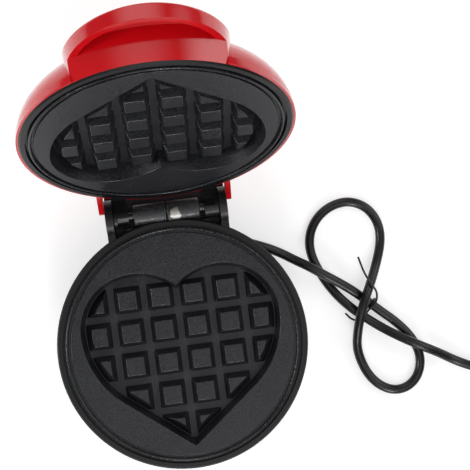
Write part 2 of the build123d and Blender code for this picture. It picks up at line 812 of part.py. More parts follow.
def fuse_clip():
    """Spring strip over the fuse, its two feet flat on the shield."""
    top_z = -(shield_top + shield_drop)
    loop_r = fuse_r + fit_gap
    with BuildPart() as clip:
        with BuildSketch(lengthwise(base, fuse_x - clip_w / 2)):
            with Locations((fuse_y, top_z - fuse_r)):
                Circle(loop_r + clip_t)
                Circle(loop_r, mode=Mode.SUBTRACT)
            with Locations((fuse_y, top_z - fuse_r + loop_r)):
                Rectangle(2 * (loop_r + clip_t), 2 * loop_r, mode=Mode.SUBTRACT)
            for side in (-1, 1):
                with Locations((fuse_y + side * (loop_r + clip_t / 2), top_z - fuse_r / 2)):
                    Rectangle(clip_t, fuse_r + clip_t / 2)
                with Locations((fuse_y + side * (loop_r + clip_foot / 2), top_z - clip_t / 2)):
                    Rectangle(clip_foot, clip_t)
            with Locations((fuse_y, top_z + clip_t)):
                Rectangle(2 * (loop_r + clip_foot), 2 * clip_t, mode=Mode.SUBTRACT)
        extrude(amount=clip_w)
    return clip


def terminal_block():
    with BuildPart() as block:
        with BuildSketch(base.offset(floor_z)):
            with Locations((block_x, block_y)):
                RectangleRounded(block_len, block_w, block_corner)
            with Locations(*block_spots()):
                Circle(screw_r + fit_gap, mode=Mode.SUBTRACT)
        extrude(amount=block_h)
    return block


def cord_clamp():
    """Strap over the cord, standing on two posts of the cover."""
    clamp_z = gland_z - part_height
    with BuildPart() as clamp:
        with BuildSketch(base.offset(clamp_z)):
            with Locations((clamp_x, clamp_y)):
                RectangleRounded(clamp_len, clamp_w, block_corner)
            with Locations(*clamp_spots()):
                Circle(screw_r + screw_clear, mode=Mode.SUBTRACT)
        extrude(amount=clamp_h)
        channel = Plane(
            origin=place(base, clamp_x, clamp_y, clamp_z), x_dir=base.x_dir, z_dir=base.y_dir
        )
        with BuildSketch(channel):
            Circle(cord_r + fit_gap)
        extrude(amount=clamp_w, both=True, mode=Mode.SUBTRACT)
    return clamp


def bend_radii(points):
    """Largest arc for each corner: 0.45 of its shorter run over the tangent of half its turn."""
    radii = []
    for before, corner, after in zip(points, points[1:], points[2:]):
        run_in, run_out = corner - before, after - corner
        half_turn = radians(run_in.get_angle(run_out)) / 2
        radii.append(0.45 * min(run_in.length, run_out.length) / tan(half_turn))
    return radii


def hinge_barrel(x):
    """Fixed barrel from one x to the other side's end, bored for its pin."""
    with BuildPart() as barrel:
        with BuildSketch(lengthwise(base, x)):
            with Locations((hinge_back, axis_z)):
                Circle(barrel_r)
        extrude(amount=barrel_x - barrel_split)
        chamfer(edges().filter_by(GeomType.CIRCLE), length=barrel_edge)
        with BuildSketch(lengthwise(base, hinge_pin_in_x if x > 0 else -barrel_x)):
            with Locations((hinge_back, axis_z)):
                Circle(hinge_pin_r)
        extrude(amount=barrel_x - hinge_pin_in_x, mode=Mode.SUBTRACT)
    return barrel


def hinge_pin(x):
    with BuildPart() as pin:
        with BuildSketch(lengthwise(base, x)):
            with Locations((hinge_back, axis_z)):
                Circle(hinge_pin_r)
        extrude(amount=ear_out_x - hinge_pin_in_x)
    return pin


def draw_arm():
    """Side of a hinge arm: round knuckle, neck and a block on the frame's ring."""
    with BuildSketch(mode=Mode.PRIVATE) as neck:
        with Locations((hinge_back, axis_z)):
            Circle(barrel_r)
        with Locations(((arm_neck_y + arm_back_y) / 2, (frame_step_z + arm_top) / 2)):
            Rectangle(arm_back_y - arm_neck_y, arm_top - frame_step_z)
        make_hull()
    add(neck.sketch)
    with Locations(((arm_front_y + arm_back_y) / 2, (frame_step_z + arm_top) / 2)):
        Rectangle(arm_back_y - arm_front_y, arm_top - frame_step_z)


def lid_frame():
    """Black ring of the lid with its inner wall, screw lugs and the two hinge arms."""
    ledge_z = frame_seat_z + frame_ledge_t
    wall_top = frame_lug_z + lug_t
    frame_lug_r = frame_wall_r - frame_wall_t / 2
    with BuildPart() as frame:
        with BuildSketch(upright(lid)):
            with BuildLine():
                Polyline(
                    (rim_in_r, plate_gap), (base_r - frame_bevel, plate_gap), (base_r, frame_step_z),
                    (frame_step_r, frame_step_z), (frame_step_r, ledge_z), (frame_wall_r, ledge_z),
                    (frame_wall_r, wall_top), (ledge_in_r, wall_top), (ledge_in_r, frame_seat_z),
                    (rim_in_r, frame_seat_z), close=True,
                )
            make_face()
        revolve(axis=axis_of(lid))
        with BuildSketch(lid.offset(frame_lug_z)):
            with PolarLocations((lug_in_r + frame_lug_r) / 2, 6, start_angle=90):
                Rectangle(frame_lug_r - lug_in_r, lug_w)
            with PolarLocations(boss_pcd_r, 3, start_angle=90):
                Circle(screw_r + screw_clear, mode=Mode.SUBTRACT)
            with PolarLocations(post_pcd_r, 3, start_angle=30):
                Circle(screw_r + screw_clear, mode=Mode.SUBTRACT)
        extrude(amount=lug_t)
        with BuildSketch(lid.offset(frame_lug_z)):
            with PolarLocations(post_pcd_r, 3, start_angle=30):
                Circle(head_r + screw_clear)
        extrude(amount=post_recess, mode=Mode.SUBTRACT)
        for x in (-knuckle_out_x, knuckle_in_x):
            with BuildSketch(lengthwise(lid, x)):
                draw_arm()
            extrude(amount=knuckle_w)
            with BuildSketch(lengthwise(lid, x)):
                with Locations((hinge_back, axis_z)):
                    Circle(hinge_pin_r + running_gap)
            extrude(amount=knuckle_w, mode=Mode.SUBTRACT)
        # Key slots in the knuckles' inner ends
        for x, turn in ((-knuckle_in_x - slot_w, left_slot_turn), (knuckle_in_x, right_slot_turn)):
            spot = (
                hinge_back + barrel_r * cos(radians(turn)), axis_z + barrel_r * sin(radians(turn))
            )
            with BuildSketch(lengthwise(lid, x)):
                with Locations(spot):
                    Rectangle(2 * slot_d, slot_h, rotation=turn)
            extrude(amount=slot_w, mode=Mode.SUBTRACT)
    return frame


def draw_hood(grow=0.0):
    """Plan of the handle: half round in front, straight sides back into the dome."""
    side = handle_r + grow
    with BuildLine() as outline:
        front = CenterArc((0, handle_y), side, 180, 180)
        Polyline(front @ 1, (side, handle_root_y), (-side, handle_root_y), front @ 0)
    make_face(outline.edges())


def hood_prism(grow, low, high):
    """Prism of the handle's plan between two heights, flaring upwards."""
    with BuildSketch(lid.offset(low)) as lower:
        draw_hood(grow + (low - frame_step_z) * tan(radians(handle_flare)))
    with BuildSketch(lid.offset(high)) as upper:
        draw_hood(grow + (high - frame_step_z) * tan(radians(handle_flare)))
    return loft([lower.sketch, upper.sketch], ruled=True)


def handle_block(grow, rounding=0.0):
    """Whole block of the handle under its crowned, sloping top."""
    along = lid.y_dir * cos(roof_rad) + lid.z_dir * sin(roof_rad)
    up = lid.z_dir * cos(roof_rad) - lid.y_dir * sin(roof_rad)
    front = place(lid, 0, handle_front_y, handle_front_z)
    length = handle_root_y - handle_front_y
    roof = Plane(
        origin=front - up * handle_crown_r - along * length / 2, x_dir=lid.x_dir, z_dir=along
    )
    with BuildPart() as block:
        hood_prism(grow, frame_step_z, dome_z + dome_h)
        with BuildSketch(roof):
            Circle(handle_crown_r + grow)
        extrude(amount=2 * length, mode=Mode.INTERSECT)
        if rounding:
            fillet(faces().filter_by(GeomType.CYLINDER)[0].edges(), radius=rounding)
    return block.part


def finger_space(grow, inset, low, high):
    """Space of the handle's plan in front of the leaning face, between two heights."""
    lean = tan(radians(handle_face_lean))
    with BuildPart() as space:
        hood_prism(grow, low, high)
        with BuildSketch(upright(lid)):
            with BuildLine():
                Polyline(
                    (0, low), (handle_face_r - inset + (low - frame_step_z) * lean, low),
                    (handle_face_r - inset + (high - frame_step_z) * lean, high), (0, high),
                    close=True,
                )
            make_face()
        revolve(axis=axis_of(lid), mode=Mode.SUBTRACT)
    return space.part


def lid_hollow():
    """Inside of the lid: the dome and the hollow of the handle, less the three screw posts."""
    with BuildPart() as hollow:
        add(handle_block(-wall))
        add(finger_space(0, wall, frame_step_z, handle_ceiling_z + wall), mode=Mode.SUBTRACT)
        with BuildSketch(upright(lid)):
            with BuildLine():
                arc = EllipticalCenterArc((0, dome_z), shell_in_r, dome_h - wall, 0, arc_size=90)
                Polyline(arc @ 1, (0, frame_step_z), (shell_in_r, frame_step_z), arc @ 0)
            make_face()
        revolve(axis=axis_of(lid))
        with BuildSketch(lid.offset(frame_lug_z + lug_t)):
            with PolarLocations(post_pcd_r, 3, start_angle=30):
                Circle(post_r)
        extrude(amount=dome_h, mode=Mode.SUBTRACT)
    return hollow.part


def draw_wing():
    """Side of a wing: a root in the dome and a tapering arm with a round end at the hinge."""
    with BuildSketch(mode=Mode.PRIVATE) as arm:
        with Locations((hinge_back + wing_back, axis_z + wing_rise)):
            Circle(wing_r)
        with Locations((wing_root_y, (frame_step_z + wing_root_z) / 2)):
            Rectangle(fit_gap, wing_root_z - frame_step_z)
        make_hull()
    add(arm.sketch)
    with Locations((wing_root_y - wing_root_len / 2, (frame_step_z + wing_root_z) / 2)):
        Rectangle(wing_root_len, wing_root_z - frame_step_z)


def lid_shell():
    """Glossy dome with skirt, hood-shaped handle and side wings."""
    hollow = lid_hollow()
    with BuildPart() as shell:
        with BuildSketch(upright(lid)):
            with BuildLine():
                arc = EllipticalCenterArc((0, dome_z), dome_r, dome_h, 0, arc_size=90)
                Polyline(
                    arc @ 1, (0, frame_step_z), (shell_r, frame_step_z), (shell_r, dome_z), arc @ 0
                )
            make_face()
        revolve(axis=axis_of(lid))
        add(handle_block(0, edge_round))
        for x in (-wing_in_x - wing_t, wing_in_x):
            with BuildSketch(lengthwise(lid, x)):
                draw_wing()
            extrude(amount=wing_t)
        add(
            finger_space(-handle_lip_t, 0, frame_step_z, handle_ceiling_z), mode=Mode.SUBTRACT
        )
        add(finger_space(0, 0, frame_step_z, handle_lip_z), mode=Mode.SUBTRACT)
        add(hollow, mode=Mode.SUBTRACT)
        # Way out for the hinge arms
        with BuildSketch(lid.offset(frame_step_z)):
            with Locations((0, hinge_back)):
                with GridLocations(knuckle_in_x + knuckle_out_x, 1, 2, 1):
                    Rectangle(knuckle_w + 2 * fit_gap, 2 * (arm_front + fit_gap))
        extrude(amount=arm_top - frame_step_z + fit_gap, mode=Mode.SUBTRACT)
        # Screw holes in the posts, then the hole and flat seat of the lens
        with BuildSketch(lid.offset(frame_lug_z + lug_t)):
            with PolarLocations(post_pcd_r, 3, start_angle=30):
                Circle(screw_r + fit_gap)
        extrude(amount=post_grip + fit_gap, mode=Mode.SUBTRACT)
        with BuildSketch(lid.offset(dome_z + dome_h - wall)):
            Circle(lens_r + fit_gap)
        extrude(amount=2 * wall, mode=Mode.SUBTRACT)
        with BuildSketch(lid.offset(dome_z + dome_h - wall)):
            Circle(lens_seat_r)
        extrude(amount=-wall, mode=Mode.SUBTRACT)
    return shell


def indicator_lens():
    seat_z = dome_z + dome_h - wall
    with BuildPart() as lens:
        with BuildSketch(upright(lid)):
            with BuildLine():
                crown_r = (lens_r**2 + lens_proud**2) / (2 * lens_proud)
                half = degrees(asin(lens_r / crown_r))
                crown = CenterArc(
                    (0, seat_z + wall + lens_proud - crown_r), crown_r, 90 - half, half
                )
                Polyline(
                    crown @ 1, (0, seat_z - lens_flange_t), (lens_flange_r, seat_z - lens_flange_t),
                    (lens_flange_r, seat_z), (lens_r, seat_z), crown @ 0,
                )
            make_face()
        revolve(axis=axis_of(lid))
    return lens


def lamp_holder():
    top_z = dome_z + dome_h - wall - lens_flange_t
    with BuildPart() as holder:
        with BuildSketch(lid.offset(top_z)):
            Circle(holder_r)
            Circle(lamp_r + fit_gap, mode=Mode.SUBTRACT)
        extrude(amount=-holder_len)
    return holder


def indicator_lamp():
    top_z = dome_z + dome_h - wall - lens_flange_t
    with BuildPart() as lamp:
        with BuildSketch(lid.offset(top_z - lamp_r)):
            Circle(lamp_r)
        extrude(amount=-lamp_len)
        fillet(edges(), radius=lamp_round)
    return lamp


def strain_relief():
    """Tapered sleeve with grooves, held in the wall by its neck and inner flange."""
    slope = (gland_r - gland_end_r) / gland_len
    with BuildPart() as relief:
        with BuildSketch(upright(gland)):
            with BuildLine():
                Polyline(
                    (0, -wall - gland_flange_t), (gland_flange_r, -wall - gland_flange_t),
                    (gland_flange_r, -wall), (gland_neck_r, -wall), (gland_neck_r, 0), (gland_r, 0),
                    (gland_end_r, gland_len), (0, gland_len), close=True,
                )
            make_face()
            for i in range(gland_grooves):
                z = gland_groove_pitch * (i + 1)
                outer = gland_r - slope * z
                with Locations((outer, z)):
                    Rectangle(2 * gland_groove, gland_groove_w, mode=Mode.SUBTRACT)
        revolve(axis=axis_of(gland))
    return relief


def inner_cord():
    """Lead inside the base, from its gland through the clamp to the terminal block."""
    start = place(gland, 0, 0, -wall - gland_flange_t)
    turn_in = start - gland.z_dir * inner_run
    over = Vector(clamp_x, plate_y + gland_y, gland_z)
    end = Vector(clamp_x, plate_y + block_y + block_w / 2, gland_z)
    points = [start, turn_in, over, end]
    with BuildPart() as cord:
        with BuildLine() as route:
            FilletPolyline(*points, radius=bend_radii(points))
        with BuildSketch(Plane(origin=route.line @ 0, z_dir=route.line % 0)):
            Circle(cord_r)
        sweep()
    return cord


def heater_leads():
    """Two leads from the tube's contact pins down to the terminal block."""
    out_y = heater_end_y + bead_len + pin_len
    down_y = out_y + lead_bend + lead_r
    right = [
        (heater_end_x, out_y, -heater_depth), (heater_end_x, down_y, -heater_depth),
        (lead_side_x, down_y - lead_bend, -lead_drop), (lead_side_x, block_y, -lead_drop),
        (block_x + block_len / 2, block_y, -lead_drop),
    ]
    left = [
        (-heater_end_x, out_y, -heater_depth), (-heater_end_x, down_y, -heater_depth),
        (-lead_side_x, down_y - lead_bend, -lead_drop),
        (lead_left_x, block_y + block_w / 2 + lead_bend, -lead_drop),
        (lead_left_x, block_y + block_w / 2, -lead_drop),
    ]
    with BuildPart() as leads:
        for points in (right, left):
            with BuildLine(base) as route:
                FilletPolyline(*points, radius=lead_bend / 2)
            with BuildSketch(Plane(origin=route.line @ 0, z_dir=route.line % 0)):
                Circle(lead_r)
            sweep()
    return leads


def power_cord():
    """Lead from the strain relief over its two loops to the coil."""
    points = [place(gland, 0, 0, gland_len), place(gland, 0, 0, gland_len + gland_run)]
    points += [Vector(x, plate_y + y, z) for x, y, z in lead_route]
    points.append(Vector(coil_x - 2 * cord_r, plate_y + coil_y + coil_r, coil_top_z))
    radii = bend_radii(points)
    with BuildPart() as cord:
        with BuildLine():
            path = FilletPolyline(*points, radius=radii)
        with BuildSketch(Plane(origin=path @ 0, z_dir=path % 0)):
            Circle(cord_r)
        sweep()
    print("lead: bend radii", [round(r, 1) for r in radii])
    report_tube("lead", cord, path.length)
    return cord


def report_tube(name, tube, length):
    share = tube.part.volume / (pi * cord_r**2 * length)
    print(f"{name}: length {length:.0f}, volume over section times length {share:.4f}")


def least_gap(path):
    """Least distance between turns of a tube, less its diameter, on points along its line."""
    count = round(path.length / cord_r)
    apart = round(count * pi * coil_r / path.length)
    spots = [path @ (i / count) for i in range(count + 1)]
    pairs = ((p, q) for i, p in enumerate(spots) for q in spots[i + apart:])
    return min((p - q).length for p, q in pairs) - 2 * cord_r


def cord_coil():
    """Coil of the lead that is put away: half turns spiral in on top and out again below."""
    step = coil_pitch / 2
    inner_r = coil_r - step
    lay = cord_r
    centre = Vector(coil_x, plate_y + coil_y, 0)
    # Ends of the half turns: sides of the coil in turn, with their radius and height
    ends = [
        (coil_r, coil_top_z), (inner_r, coil_top_z), (inner_r, lay), (coil_r, lay),
        (coil_r + step, lay),
    ]
    spots = [
        centre + Vector(0, r if i % 2 == 0 else -r, z) for i, (r, z) in enumerate(ends)
    ]
    last_r = coil_r + step + coil_pitch / 4
    with BuildPart() as coil:
        with BuildLine() as route:
            Line(spots[0] - Vector(2 * cord_r, 0, 0), spots[0])
            for i, (near, far) in enumerate(zip(spots, spots[1:])):
                side = 1 if i % 2 == 0 else -1
                middle = (near + far) / 2 + Vector(side * (near - far).length / 2, 0, 0)
                ThreePointArc(near, middle, far)
            corner = centre + Vector(last_r, coil_r + step - last_r, lay)
            quarter = TangentArc(spots[-1], corner, tangent=(1, 0, 0))
            tail = [quarter @ 1] + [centre + Vector(*point) for point in tail_route]
            FilletPolyline(*tail, radius=bend_radii(tail))
        start = spots[0] - Vector(2 * cord_r, 0, 0)
        with BuildSketch(Plane(origin=start, z_dir=(1, 0, 0))):
            Circle(cord_r)
        sweep()
    turns = Wire(route.edges())
    report_tube("coil", coil, turns.length)
    print(f"coil: least gap to itself {least_gap(turns):.2f}")
    return coil


def plug_plane():
    """Where the lead enters the plug, looking along it."""
    near, end = (Vector(*point) for point in tail_route[-2:])
    ahead = Vector(end.X - near.X, end.Y - near.Y, 0)
    origin = Vector(coil_x, plate_y + coil_y, 0) + end + ahead.normalized() * plug_gap
    return Plane(origin=origin, x_dir=(ahead.Y, -ahead.X, 0), z_dir=ahead)


def plug_body():
    """Moulded two-pin plug: a nose that widens into the grip, and a flat front."""
    plug = plug_plane()
    with BuildPart() as body:
        with BuildSketch(plug) as nose:
            RectangleRounded(plug_nose_w, plug_nose_w, plug_corner)
        with BuildSketch(plug.offset(plug_nose_len)) as shoulder:
            RectangleRounded(plug_w, plug_h, plug_corner)
        loft([nose.sketch, shoulder.sketch], ruled=True)
        with BuildSketch(plug.offset(plug_nose_len)):
            RectangleRounded(plug_w, plug_h, plug_corner)
        extrude(amount=plug_len - plug_nose_len)
    return body


def plug_blades():
    plug = plug_plane()
    with BuildPart() as blades:
        with BuildSketch(plug.offset(plug_len)):
            with GridLocations(blade_gap, 1, 2, 1):
                Rectangle(blade_t, blade_w)
        extrude(amount=blade_len)
        side = Axis(plug.origin, plug.x_dir)
        fillet(
            edges().filter_by(side).group_by(axis_of(plug))[-1], radius=blade_w / 2 - blade_t / 2
        )
    return blades


def twist_tie():
    """Thin tie closed round the two strands, with both its ends standing out."""
    turn = radians(tie_turn)
    tie = Plane(
        origin=(tie_x, plate_y + tie_y, tie_z), x_dir=(-sin(turn), cos(turn), 0),
        z_dir=(cos(turn), sin(turn), 0),
    )
    reach = cord_r + tie_clear + tie_r
    half = tie_span / 2
    with BuildPart() as loop:
        with BuildLine(tie) as around:
            Line((-half, -reach), (half, -reach))
            ThreePointArc((half, -reach), (half + reach, 0), (half, reach))
            Line((half, reach), (-half, reach))
            ThreePointArc((-half, reach), (-half - reach, 0), (-half, -reach))
        with BuildSketch(Plane(origin=place(tie, 0, reach, 0), z_dir=tie.x_dir)):
            Circle(tie_r)
        sweep(path=Wire(around.edges()))
        starts = (place(tie, 0, reach, 0), place(tie, -half - reach, 0, 0))
        for start, route in zip(starts, (tie_long_end, tie_short_end)):
            points = [start] + [Vector(x, plate_y + y, z) for x, y, z in route]
            with BuildLine():
                end = FilletPolyline(*points, radius=bend_radii(points))
            with BuildSketch(Plane(origin=end @ 0, z_dir=end % 0)):
                Circle(tie_r)
            sweep(path=end)
    return loop


def main():
    """Every piece, on the base first and then on the lid."""
    save(base_housing(), "base_housing")
    save(bottom_cover(), "base_bottom_cover")
    save(rubber_feet(), "rubber_feet")
    save(headed_screws(base.offset(foot_z), cover_screw_spots(), cover_screw_len), "bottom_screws")
    spots = [
        (boss_pcd_r * cos(radians(a)), boss_pcd_r * sin(radians(a))) for a in (90, 210, 330)
    ]
    for side, face in (("lower", lower_face), ("upper", upper_face)):
        save(grid_plate(face), f"{side}_plate")
        save(heating_tube(face), f"{side}_heater")
        save(heater_terminals(face), f"{side}_heater_terminals")
        save(heat_shield(face), f"{side}_heat_shield")
        under_lugs = face.offset(-lug_top - lug_t)
        save(headed_screws(under_lugs, spots, plate_screw_len), f"{side}_plate_screws")

    save(thermostat(), "thermostat")
    stat_spots = [(-stat_screw_x, 0), (stat_screw_x, 0)]
    under_stat = base.offset(-tub_depth - stat_flange_t)
    save(
        headed_screws(under_stat, stat_spots, stat_flange_t + stat_screw_grip), "thermostat_screws"
    )
    save(thermal_fuse(), "thermal_fuse")
    save(fuse_clip(), "fuse_clip")
    save(terminal_block(), "terminal_block")
    over_block = facing_down(base, floor_z + block_h)
    save(
        headed_screws(over_block, [(x, -y) for x, y in block_spots()], block_h + block_screw_grip),
        "terminal_screws",
    )
    save(cord_clamp(), "cord_clamp")
    over_clamp = facing_down(base, gland_z - part_height + clamp_h)
    save(
        headed_screws(over_clamp, [(x, -y) for x, y in clamp_spots()], clamp_h + clamp_grip),
        "clamp_screws",
    )
    save(inner_cord(), "inner_cord")
    save(heater_leads(), "heater_leads")
    save(strain_relief(), "strain_relief")
    save(hinge_barrel(-barrel_x), "hinge_barrel_left")
    save(hinge_barrel(barrel_split), "hinge_barrel_right")
    save(hinge_pin(-ear_out_x), "hinge_pin_left")
    save(hinge_pin(hinge_pin_in_x), "hinge_pin_right")
    save(power_cord(), "power_cord")
    save(cord_coil(), "cord_coil")
    save(twist_tie(), "twist_tie")
    save(plug_body(), "plug_body")
    save(plug_blades(), "plug_blades")

    save(lid_frame(), "lid_frame")
    save(lid_shell(), "lid_shell")
    post_spots = [
        (post_pcd_r * cos(radians(a)), post_pcd_r * sin(radians(a))) for a in (30, 150, 270)
    ]
    save(
        headed_screws(
            lid.offset(frame_lug_z + post_recess), post_spots, lug_t - post_recess + post_grip
        ),
        "lid_screws",
    )
    save(indicator_lens(), "indicator_lens")
    save(lamp_holder(), "lamp_holder")
    save(indicator_lamp(), "indicator_lamp")


if __name__ == "__main__":
    main()
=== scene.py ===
# Round waffle maker with a heart grid, lid open, seen from above.
# Lengths are in metres, angles in degrees.
import json
from math import cos, pi, radians, sin

import bmesh
import bpy
from mathutils import Matrix, Vector


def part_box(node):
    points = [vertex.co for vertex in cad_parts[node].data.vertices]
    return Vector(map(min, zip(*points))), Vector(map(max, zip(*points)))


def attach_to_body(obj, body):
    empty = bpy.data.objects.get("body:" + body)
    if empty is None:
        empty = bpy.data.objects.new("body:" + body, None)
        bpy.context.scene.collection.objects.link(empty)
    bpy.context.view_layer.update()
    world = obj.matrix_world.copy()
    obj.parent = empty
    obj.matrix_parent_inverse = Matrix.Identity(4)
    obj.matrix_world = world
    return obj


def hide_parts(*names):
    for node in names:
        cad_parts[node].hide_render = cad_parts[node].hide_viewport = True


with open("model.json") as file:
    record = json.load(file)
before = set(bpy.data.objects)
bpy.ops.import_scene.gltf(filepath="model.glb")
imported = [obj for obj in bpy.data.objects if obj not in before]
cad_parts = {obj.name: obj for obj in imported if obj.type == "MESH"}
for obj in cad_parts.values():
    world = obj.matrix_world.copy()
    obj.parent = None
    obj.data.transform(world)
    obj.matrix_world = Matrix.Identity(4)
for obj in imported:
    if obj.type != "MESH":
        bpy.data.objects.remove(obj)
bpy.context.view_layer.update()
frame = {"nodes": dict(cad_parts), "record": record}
nodes = frame["nodes"]
bodyOf = {
    node: body
    for body, names in frame["record"]["behaviour"]["bodies"].items()
    for node in names
}
slotOf = {part["node"]: part["material_slot"] for part in frame["record"]["subparts"]}
print("frame loaded,", len(nodes), "nodes")

# Small helpers for objects, meshes and node trees

mixSockets = {"FLOAT": (2, 3, 0), "RGBA": (6, 7, 2)}  # first, second and result of a Mix node
white = (1.0, 1.0, 1.0, 1.0)


def addObject(name, data):
    piece = bpy.data.objects.new(name, data)
    bpy.context.collection.objects.link(piece)
    return piece


def put(tree, value, socket):
    # links another node's socket to this one, or gives this one a fixed value
    if isinstance(value, bpy.types.NodeSocket):
        tree.links.new(value, socket)
    else:
        socket.default_value = value


def addNode(tree, kind, inputs, **settings):
    # the inputs are given by name, or by number where a name comes twice
    node = tree.nodes.new(kind)
    for name, value in settings.items():
        setattr(node, name, value)
    for socket, value in inputs.items():
        put(tree, value, node.inputs[socket])
    return node


def mixed(tree, kind, factor, first, second):
    a, b, result = mixSockets[kind]
    node = addNode(tree, "ShaderNodeMix", {0: factor, a: first, b: second}, data_type=kind)
    return node.outputs[result]


def newTree(name, kind, inputs, outputs):
    tree = bpy.data.node_groups.new(name, kind)
    for way, sockets in (("INPUT", inputs), ("OUTPUT", outputs)):
        for label, what in sockets.items():
            tree.interface.new_socket(label, in_out=way, socket_type="NodeSocket" + what)
    start = tree.nodes.new("NodeGroupInput").outputs
    end = tree.nodes.new("NodeGroupOutput").inputs
    return tree, start, end


def newMaterial(name, values):
    # the values are the same all over the surface, so they go on the shader's own sockets
    material = bpy.data.materials.new(name)
    material.use_nodes = True
    shader = material.node_tree.nodes["Principled BSDF"]
    for label, value in values.items():
        shader.inputs[label].default_value = value
    return material, shader


# Camera and light

camera = {
    "place": (-0.0042, 0.01825, 0.6607),
    "right": (0.9901, -0.1267, 0.0610),
    "up": (0.1276, 0.9918, -0.0104),
    "lens": 94.95,
    "sensor": 36.0,
    "nearest": 0.01,
}
studio = {
    "view": "Standard",
    "floorSize": 6.0,
    "floorColour": (0.6, 0.6, 0.6, 1.0),
    "floorRoughness": 0.7,
    "floorShine": 0.2,
    "floorGlow": 0.58,
    "skyLight": 0.15,
    "skySeen": 0.95,  # how bright the sky is where the camera sees it
    "lights": (  # name, place, size, power
        ("softboxTop", (0.2, -0.62, 1.4), 2.0, 18.0),
        ("softboxRight", (1.1, 0.45, 0.9), 1.6, 20.0),
        ("softboxLeft", (-0.95, 0.0, 0.6), 0.5, 14.0),
        ("softboxFront", (0.0, -1.0, 0.62), 0.5, 14.0),
        ("softboxBack", (-0.1, 1.1, 0.9), 1.8, 14.0),
    ),
    "middle": (0.5, 0.5, 0.0),  # of a softbox, across which its own coordinates run from 0 to 1
    "fade": (0.12, 0.5),  # how far from its middle the light starts to fade, and where it ends
    "aim": (0.0, 0.0, 0.04),
}


def buildCamera(spec):
    right = Vector(spec["right"]).normalized()
    up = Vector(spec["up"])
    up = (up - right * up.dot(right)).normalized()
    back = right.cross(up)
    turn = Matrix((right, up, back)).transposed().to_4x4()
    data = bpy.data.cameras.new("photoCamera")
    data.lens = spec["lens"]
    data.sensor_width = spec["sensor"]
    data.clip_start = spec["nearest"]
    eye = addObject("photoCamera", data)
    eye.matrix_world = Matrix.Translation(spec["place"]) @ turn
    bpy.context.scene.camera = eye


def buildFloor(spec):
    half = spec["floorSize"] / 2
    corners = [(-half, -half, 0), (half, -half, 0), (half, half, 0), (-half, half, 0)]
    mesh = bpy.data.meshes.new("floor")
    mesh.from_pydata(corners, [], [(0, 1, 2, 3)])
    floor = addObject("floor", mesh)
    paint, _ = newMaterial("floorPaint", {
        "Base Color": spec["floorColour"],
        "Roughness": spec["floorRoughness"],
        "Specular IOR Level": spec["floorShine"],
        "Emission Color": white,
        "Emission Strength": spec["floorGlow"],
    })
    mesh.materials.append(paint)


def buildSky(spec):
    # the camera sees a pale backdrop, the object is lit by a dimmer one
    world = bpy.data.worlds.new("studio")
    world.use_nodes = True
    tree = world.node_tree
    light = tree.nodes["Background"]
    seen = tree.nodes.new("ShaderNodeBackground")
    for sky, strength in ((light, spec["skyLight"]), (seen, spec["skySeen"])):
        sky.inputs["Color"].default_value = white
        sky.inputs["Strength"].default_value = strength
    ray = tree.nodes.new("ShaderNodeLightPath")
    choose = addNode(tree, "ShaderNodeMixShader", {
        0: ray.outputs["Is Camera Ray"], 1: light.outputs[0], 2: seen.outputs[0],
    })
    put(tree, choose.outputs[0], tree.nodes["World Output"].inputs["Surface"])
    bpy.context.scene.world = world


def buildSoftbox(name, place, size, power, spec):
    # its light fades from the middle to the edge, so its reflection has no hard border
    data = bpy.data.lights.new(name, "AREA")
    data.size = size
    data.energy = power
    data.use_nodes = True
    tree = data.node_tree
    where = tree.nodes.new("ShaderNodeNewGeometry")
    away = addNode(tree, "ShaderNodeVectorMath", {
        0: where.outputs["Parametric"], 1: spec["middle"],
    }, operation="SUBTRACT")
    far = addNode(tree, "ShaderNodeVectorMath", {0: away.outputs["Vector"]}, operation="LENGTH")
    fadeStart, fadeEnd = spec["fade"]
    fade = addNode(tree, "ShaderNodeMapRange", {
        "Value": far.outputs["Value"],
        "From Min": fadeStart, "From Max": fadeEnd, "To Min": 1.0, "To Max": 0.0,
    }, interpolation_type="SMOOTHSTEP")
    put(tree, fade.outputs["Result"], tree.nodes["Emission"].inputs["Strength"])
    lamp = addObject(name, data)
    aim = Vector(spec["aim"]) - Vector(place)
    turn = aim.to_track_quat("-Z", "Y").to_matrix().to_4x4()
    lamp.matrix_world = Matrix.Translation(place) @ turn


buildCamera(camera)
buildFloor(studio)
buildSky(studio)
for name, place, size, power in studio["lights"]:
    buildSoftbox(name, place, size, power, studio)
bpy.context.scene.view_settings.view_transform = studio["view"]
print("camera and studio ready")

# Materials

surfaces = {
    "fineDetail": 2.0,
    "broadDetail": 4.0,
    "spread": (0.36, 0.64),  # the noise between these is drawn out to the whole range of colours
    "reliefDepth": 0.0002,
    "coatRoughness": 0.06,
    "wearDetail": 3.0,
    "wearBorder": (1.75, 1.5),  # covered beyond the first, bare within the second
}
polish = {
    "nodes": {"lower_plate", "upper_plate"},
    "roughness": 0.2,
    "widest": 0.0004,  # a wider face is no rounded edge
    "bend": (8, 40),  # how far a rounded edge's faces turn from one to the next
}


